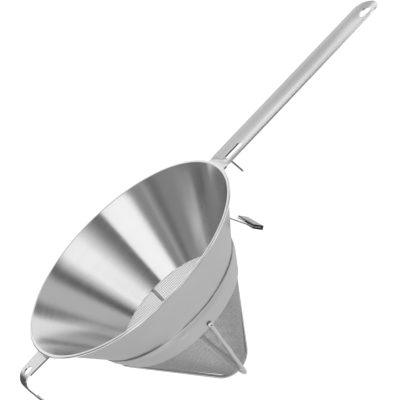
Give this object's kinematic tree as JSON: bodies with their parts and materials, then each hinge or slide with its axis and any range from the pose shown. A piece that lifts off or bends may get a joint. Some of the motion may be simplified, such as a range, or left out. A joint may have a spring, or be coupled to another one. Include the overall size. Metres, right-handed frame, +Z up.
{
  "type": "bouillon strainer",
  "caption": "Conical fine-mesh strainer with a folded rim, a rod guard, a flat handle, and a hook and a rest plate that seat it over a pot.",
  "frame": {"origin": "on the cone's axis, at the level of the hook strap's underside, which rests on a pot's rim", "axes": "+Z up along the cone's axis towards the mouth, +X along the handle away from the cone"},
  "size_m": [0.4077, 0.2, 0.1442],
  "materials": {
    "brushed_steel": "brushed round the cone inside, satin outside",
    "satin_steel": "satin",
    "woven_steel": "woven fine wire",
    "rod_steel": "drawn wire, semi-bright",
    "handle_steel": "satin, brushed lengthwise",
    "bright_steel": "bright",
    "black_rubber": "smooth"
  },
  "bodies": {
    "root": {"body_cone": "brushed_steel", "clamp_band": "satin_steel", "mesh_cone": "woven_steel", "guard_rod_side": "rod_steel", "guard_rod_cross": "rod_steel", "handle": "handle_steel", "pot_hook": "handle_steel", "rest_bracket": "bright_steel", "rest_edge_trim": "black_rubber"}
  },
  "joints": []
}
